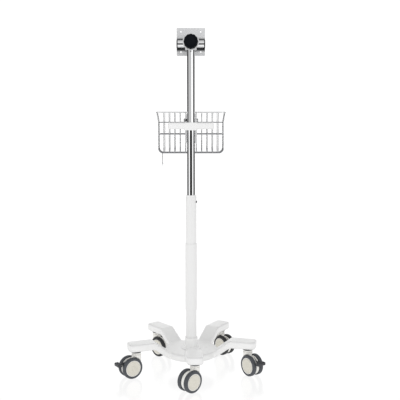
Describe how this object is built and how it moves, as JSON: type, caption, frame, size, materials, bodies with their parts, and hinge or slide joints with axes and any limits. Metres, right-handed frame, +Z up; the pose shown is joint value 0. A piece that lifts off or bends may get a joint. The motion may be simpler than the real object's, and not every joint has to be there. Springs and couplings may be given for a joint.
{
  "type": "patient monitor roll stand",
  "caption": "Rolling stand for a patient monitor: star base on twin-wheel casters, white column, sliding chrome mast, push handle, wire basket and a tilting monitor plate.",
  "frame": {"origin": "on the floor, at the middle of the footprint's bounding box; the column axis stands 28 mm behind it, towards +Y", "axes": "+Z up along the column, +Y from the column towards the basket and the monitor plate's face, +X to the right of a person who stands at the handle side and faces the column"},
  "size_m": [0.5324, 0.4792, 1.23],
  "materials": {
    "white_paint": "smooth semi-gloss white powder coat",
    "white_plastic": "moulded semi-gloss white plastic",
    "cast_ballast": "dark painted cast iron",
    "plated_steel": "zinc plated steel",
    "chrome_tube": "mirror chrome",
    "chrome_wire": "bright chromed wire",
    "polished_block": "polished metal",
    "brushed_plate": "brushed stainless steel, grain along the width",
    "black_plastic": "fine-textured black plastic",
    "black_screw": "black oxide steel",
    "grey_plastic": "grey nylon",
    "dark_plastic": "dark grey moulded plastic",
    "cream_plastic": "cream moulded plastic",
    "grey_tyre": "slate grey rubber tread over a cream core"
  },
  "bodies": {
    "base": {"base_casting": "white_paint", "ballast_ring": "cast_ballast", "ballast_screws": "plated_steel", "column_foot_plug": "plated_steel", "centre_bolt": "plated_steel", "centre_washer": "plated_steel", "column_boot": "white_plastic", "lower_column_tube": "white_paint", "column_spigot": "plated_steel", "middle_column_tube": "white_paint", "column_joint_sleeve": "white_plastic", "mast_guide_bush": "white_plastic", "caster_stems": "plated_steel", "swivel_rings": "dark_plastic"},
    "mast": {"mast_tube": "chrome_tube", "mast_slider": "grey_plastic", "handle_grip": "white_plastic", "handle_clamp_half": "white_plastic", "handle_clamp_screws": "plated_steel", "basket_bracket": "plated_steel", "basket_clip": "plated_steel", "basket_clip_screw": "black_screw", "basket_rim": "chrome_wire", "basket_pole_side": "chrome_wire", "basket_far_side": "chrome_wire", "basket_left_end": "chrome_wire", "basket_right_end": "chrome_wire", "basket_floor": "chrome_wire", "basket_hook": "chrome_wire", "head_block": "polished_block", "head_set_screw": "black_screw"},
    "height_lock": {"height_lock_screw": "black_screw"},
    "clamp_knob": {"tilt_knob": "black_plastic", "tilt_knob_stud": "plated_steel"},
    "tilt_head": {"tilt_bar": "chrome_tube", "monitor_plate": "brushed_plate"},
    "front_caster": {"front_caster_hood": "cream_plastic", "front_caster_axle": "plated_steel"},
    "front_wheel_a": {"front_caster_wheel_a": "grey_tyre"},
    "front_wheel_b": {"front_caster_wheel_b": "grey_tyre"},
    "right_caster": {"right_caster_hood": "cream_plastic", "right_caster_axle": "plated_steel"},
    "right_wheel_a": {"right_caster_wheel_a": "grey_tyre"},
    "right_wheel_b": {"right_caster_wheel_b": "grey_tyre"},
    "right_pedal": {"right_caster_pedal": "dark_plastic"},
    "rear_right_caster": {"rear_right_caster_hood": "cream_plastic", "rear_right_caster_axle": "plated_steel"},
    "rear_right_wheel_a": {"rear_right_caster_wheel_a": "grey_tyre"},
    "rear_right_wheel_b": {"rear_right_caster_wheel_b": "grey_tyre"},
    "rear_right_pedal": {"rear_right_caster_pedal": "dark_plastic"},
    "rear_left_caster": {"rear_left_caster_hood": "cream_plastic", "rear_left_caster_axle": "plated_steel"},
    "rear_left_wheel_a": {"rear_left_caster_wheel_a": "grey_tyre"},
    "rear_left_wheel_b": {"rear_left_caster_wheel_b": "grey_tyre"},
    "left_caster": {"left_caster_hood": "cream_plastic", "left_caster_axle": "plated_steel"},
    "left_wheel_a": {"left_caster_wheel_a": "grey_tyre"},
    "left_wheel_b": {"left_caster_wheel_b": "grey_tyre"},
    "left_pedal": {"left_caster_pedal": "dark_plastic"}
  },
  "joints": [
    {"name": "mast_height", "type": "slide", "parent": "base", "child": "mast", "axis": [0, 0, 1], "range_m": [-0.12, 0.1]},
    {"name": "height_lock_turn", "type": "hinge", "parent": "base", "child": "height_lock", "pos_m": [0, 0.028, 0.617], "axis": [0.9659, -0.2588, 0], "range_deg": [0, 360]},
    {"name": "clamp_knob_turn", "type": "hinge", "parent": "mast", "child": "clamp_knob", "pos_m": [0, 0.028, 1.178], "axis": [0, -1, 0], "range_deg": [0, 360]},
    {"name": "head_tilt", "type": "hinge", "parent": "mast", "child": "tilt_head", "pos_m": [0, 0.028, 1.1715], "axis": [1, 0, 0], "range_deg": [-10, 20]},
    {"name": "front_swivel", "type": "hinge", "parent": "base", "child": "front_caster", "pos_m": [0.01209, -0.18165, 0.085], "axis": [0, 0, 1], "continuous": true},
    {"name": "front_wheel_a_spin", "type": "hinge", "parent": "front_caster", "child": "front_wheel_a", "pos_m": [-0.00546, -0.19802, 0.0375], "axis": [0.682, -0.7314, 0], "continuous": true},
    {"name": "front_wheel_b_spin", "type": "hinge", "parent": "front_caster", "child": "front_wheel_b", "pos_m": [-0.00546, -0.19802, 0.0375], "axis": [0.682, -0.7314, 0], "continuous": true},
    {"name": "right_swivel", "type": "hinge", "parent": "base", "child": "right_caster", "pos_m": [0.20313, -0.02529, 0.085], "axis": [0, 0, 1], "continuous": true},
    {"name": "right_wheel_a_spin", "type": "hinge", "parent": "right_caster", "child": "right_wheel_a", "pos_m": [0.21689, -0.04495, 0.0375], "axis": [0.8192, 0.5736, 0], "continuous": true},
    {"name": "right_wheel_b_spin", "type": "hinge", "parent": "right_caster", "child": "right_wheel_b", "pos_m": [0.21689, -0.04495, 0.0375], "axis": [0.8192, 0.5736, 0], "continuous": true},
    {"name": "right_pedal_press", "type": "hinge", "parent": "right_caster", "child": "right_pedal", "pos_m": [0.2232, -0.05396, 0.0555], "axis": [0.8192, 0.5736, 0], "range_deg": [0, 15]},
    {"name": "rear_right_swivel", "type": "hinge", "parent": "base", "child": "rear_right_caster", "pos_m": [0.11345, 0.20472, 0.085], "axis": [0, 0, 1], "continuous": true},
    {"name": "rear_right_wheel_a_spin", "type": "hinge", "parent": "rear_right_caster", "child": "rear_right_wheel_a", "pos_m": [0.12888, 0.18633, 0.0375], "axis": [0.766, 0.6428, 0], "continuous": true},
    {"name": "rear_right_wheel_b_spin", "type": "hinge", "parent": "rear_right_caster", "child": "rear_right_wheel_b", "pos_m": [0.12888, 0.18633, 0.0375], "axis": [0.766, 0.6428, 0], "continuous": true},
    {"name": "rear_right_pedal_press", "type": "hinge", "parent": "rear_right_caster", "child": "rear_right_pedal", "pos_m": [0.13595, 0.17791, 0.0555], "axis": [0.766, 0.6428, 0], "range_deg": [0, 15]},
    {"name": "rear_left_swivel", "type": "hinge", "parent": "base", "child": "rear_left_caster", "pos_m": [-0.13301, 0.19051, 0.085], "axis": [0, 0, 1], "continuous": true},
    {"name": "rear_left_wheel_a_spin", "type": "hinge", "parent": "rear_left_caster", "child": "rear_left_wheel_a", "pos_m": [-0.11604, 0.17354, 0.0375], "axis": [0.7071, 0.7071, 0], "continuous": true},
    {"name": "rear_left_wheel_b_spin", "type": "hinge", "parent": "rear_left_caster", "child": "rear_left_wheel_b", "pos_m": [-0.11604, 0.17354, 0.0375], "axis": [0.7071, 0.7071, 0], "continuous": true},
    {"name": "left_swivel", "type": "hinge", "parent": "base", "child": "left_caster", "pos_m": [-0.19565, -0.04828, 0.085], "axis": [0, 0, 1], "continuous": true},
    {"name": "left_wheel_a_spin", "type": "hinge", "parent": "left_caster", "child": "left_wheel_a", "pos_m": [-0.21578, -0.06135, 0.0375], "axis": [0.5446, -0.8387, 0], "continuous": true},
    {"name": "left_wheel_b_spin", "type": "hinge", "parent": "left_caster", "child": "left_wheel_b", "pos_m": [-0.21578, -0.06135, 0.0375], "axis": [0.5446, -0.8387, 0], "continuous": true},
    {"name": "left_pedal_press", "type": "hinge", "parent": "left_caster", "child": "left_pedal", "pos_m": [-0.22501, -0.06735, 0.0555], "axis": [0.5446, -0.8387, 0], "range_deg": [0, 15]}
  ]
}
